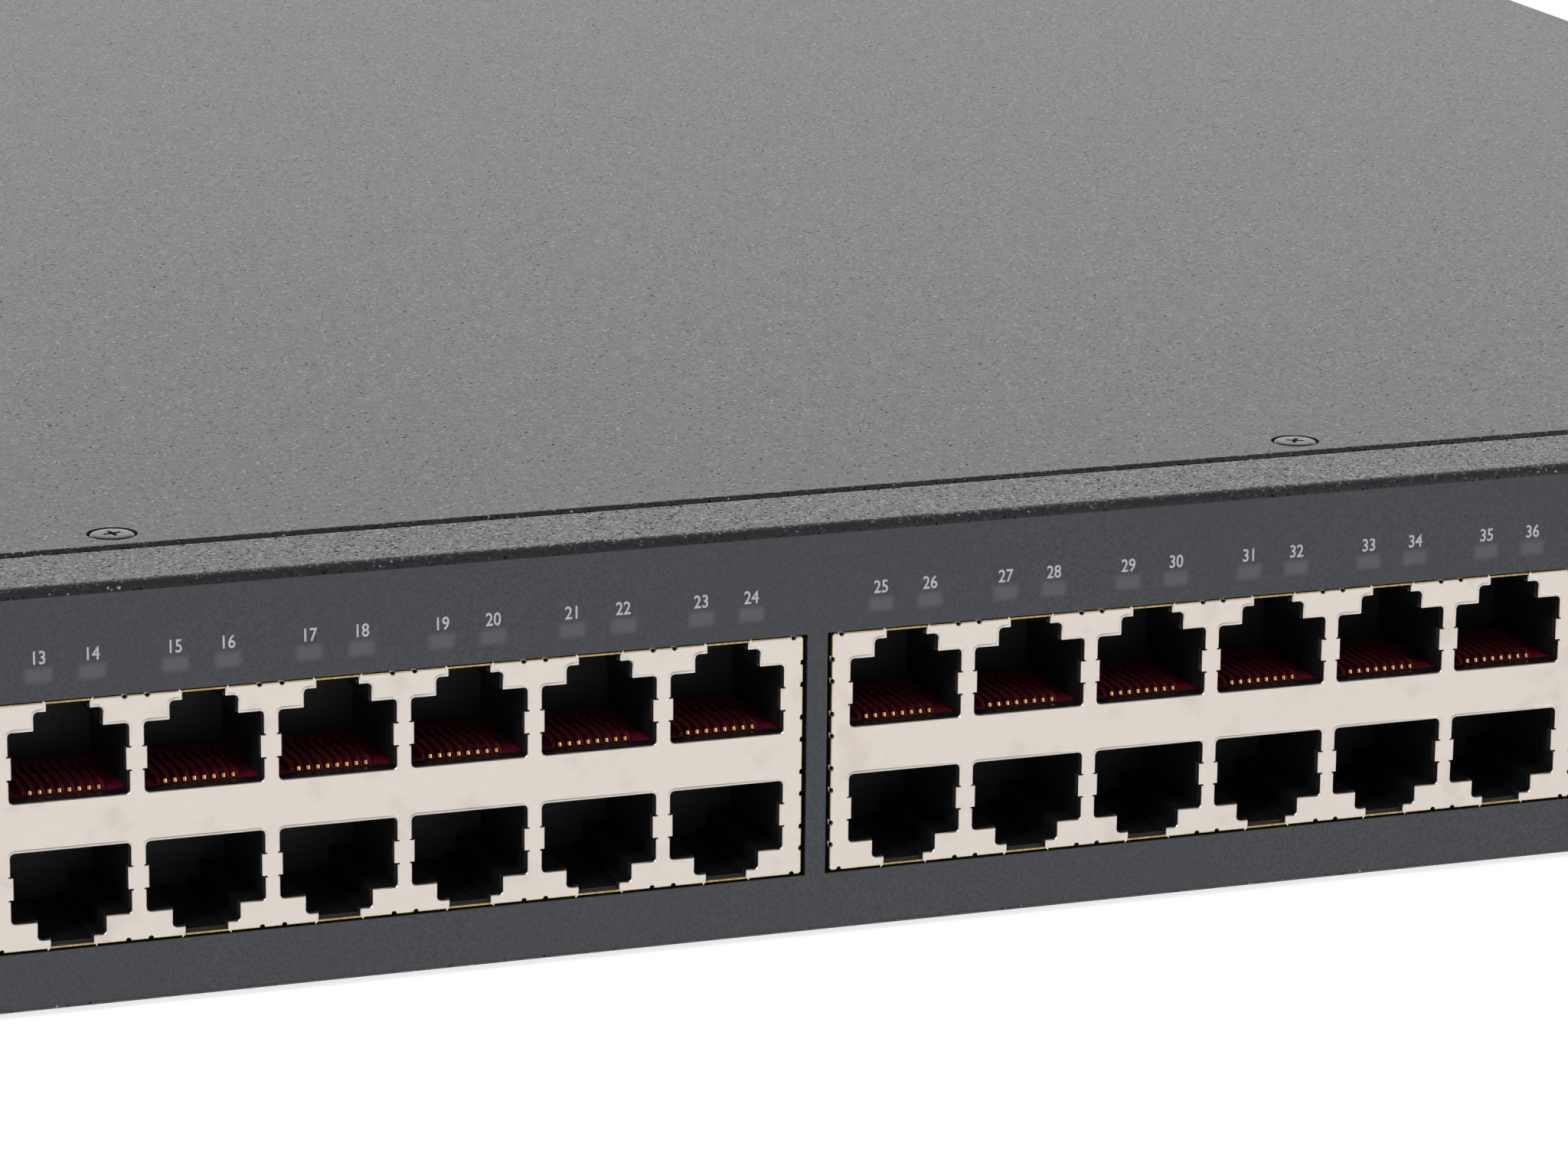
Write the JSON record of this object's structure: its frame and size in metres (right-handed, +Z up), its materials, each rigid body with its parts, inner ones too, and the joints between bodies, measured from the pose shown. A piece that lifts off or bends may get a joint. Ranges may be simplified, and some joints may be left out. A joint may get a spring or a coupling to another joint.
{
  "type": "rackmount network switch",
  "caption": "One-unit rackmount network switch with stacked copper port blocks, module bays, console jack, rear fans, mains inlet and rack ears.",
  "frame": {"origin": "centre of the footprint on the surface that the rubber pads stand on", "axes": "+X to the right seen from the front, +Y from the port side to the rear, +Z up"},
  "size_m": [0.4826, 0.3574, 0.0446],
  "materials": {
    "powder_coat": "fine textured black powder coat",
    "overlay_film": "satin printed polyester film",
    "tin_plate": "satin tin plate over brass, embossed",
    "black_moulding": "glass-filled black moulding",
    "maroon_moulding": "moulded maroon contact carrier",
    "clear_moulding": "clear polycarbonate",
    "circuit_board": "green solder mask",
    "aluminium": "extruded, bare",
    "zinc_steel": "bright zinc plate",
    "black_steel": "black zinc on steel",
    "chip_resin": "moulded epoxy",
    "ferrite": "ferrite core and tape",
    "rubber": "moulded rubber pad",
    "plug_moulding": "soft-touch black moulding",
    "wire_jacket": "PVC insulation",
    "nickel_brass": "nickel-plated brass blade"
  },
  "bodies": {
    "chassis": {"base_tray": "powder_coat", "console_housing": "black_moulding", "console_shield": "tin_plate", "contact_insert_1": "maroon_moulding", "contact_insert_2": "maroon_moulding", "contact_insert_3": "maroon_moulding", "contact_insert_4": "maroon_moulding", "cover_screw_1": "black_steel", "cover_screw_2": "black_steel", "cover_screw_3": "black_steel", "cover_screw_4": "black_steel", "dc_harness": "wire_jacket", "fan_frame_1": "black_moulding", "fan_frame_2": "black_moulding", "foot_1": "rubber", "foot_2": "rubber", "foot_3": "rubber", "foot_4": "rubber", "front_overlay": "overlay_film", "front_panel": "powder_coat", "ground_screw": "zinc_steel", "inlet_pin_earth": "nickel_brass", "inlet_pin_line": "nickel_brass", "inlet_pin_neutral": "nickel_brass", "jack_housing_1": "black_moulding", "jack_housing_2": "black_moulding", "jack_housing_3": "black_moulding", "jack_housing_4": "black_moulding", "jack_shield_1": "tin_plate", "jack_shield_2": "tin_plate", "jack_shield_3": "tin_plate", "jack_shield_4": "tin_plate", "left_phy_chip": "chip_resin", "left_phy_heatsink": "aluminium", "main_board": "circuit_board", "mains_inlet": "black_moulding", "mode_switch": "black_moulding", "module_cage": "zinc_steel", "port_light_pipe_1": "clear_moulding", "port_light_pipe_2": "clear_moulding", "port_light_pipe_3": "clear_moulding", "port_light_pipe_4": "clear_moulding", "psu_board": "circuit_board", "psu_capacitor": "chip_resin", "psu_transformer": "ferrite", "rack_ear_left": "powder_coat", "rack_ear_right": "powder_coat", "right_phy_chip": "chip_resin", "right_phy_heatsink": "aluminium", "status_light_pipe": "clear_moulding", "switch_chip": "chip_resin", "switch_heatsink": "aluminium", "top_cover": "powder_coat"},
    "fan_rotor_1": {"fan_rotor_1": "plug_moulding"},
    "fan_rotor_2": {"fan_rotor_2": "plug_moulding"},
    "mode_button": {"mode_button": "plug_moulding"},
    "dust_plug_1": {"dust_plug_1": "plug_moulding"},
    "dust_plug_2": {"dust_plug_2": "plug_moulding"},
    "dust_plug_3": {"dust_plug_3": "plug_moulding"},
    "dust_plug_4": {"dust_plug_4": "plug_moulding"}
  },
  "joints": [
    {"name": "fan_1_spin", "type": "hinge", "parent": "chassis", "child": "fan_rotor_1", "pos_m": [-0.16, 0.1645, 0.0224], "axis": [0, 1, 0], "continuous": true},
    {"name": "fan_2_spin", "type": "hinge", "parent": "chassis", "child": "fan_rotor_2", "pos_m": [-0.098, 0.1645, 0.0224], "axis": [0, 1, 0], "continuous": true},
    {"name": "mode_button_press", "type": "slide", "parent": "chassis", "child": "mode_button", "axis": [0, 1, 0], "range_m": [0, 0.0006], "stiffness_N_per_m": 400},
    {"name": "dust_plug_1_pull", "type": "slide", "parent": "chassis", "child": "dust_plug_1", "axis": [0, -1, 0], "range_m": [0, 0.014]},
    {"name": "dust_plug_2_pull", "type": "slide", "parent": "chassis", "child": "dust_plug_2", "axis": [0, -1, 0], "range_m": [0, 0.014]},
    {"name": "dust_plug_3_pull", "type": "slide", "parent": "chassis", "child": "dust_plug_3", "axis": [0, -1, 0], "range_m": [0, 0.014]},
    {"name": "dust_plug_4_pull", "type": "slide", "parent": "chassis", "child": "dust_plug_4", "axis": [0, -1, 0], "range_m": [0, 0.014]}
  ]
}
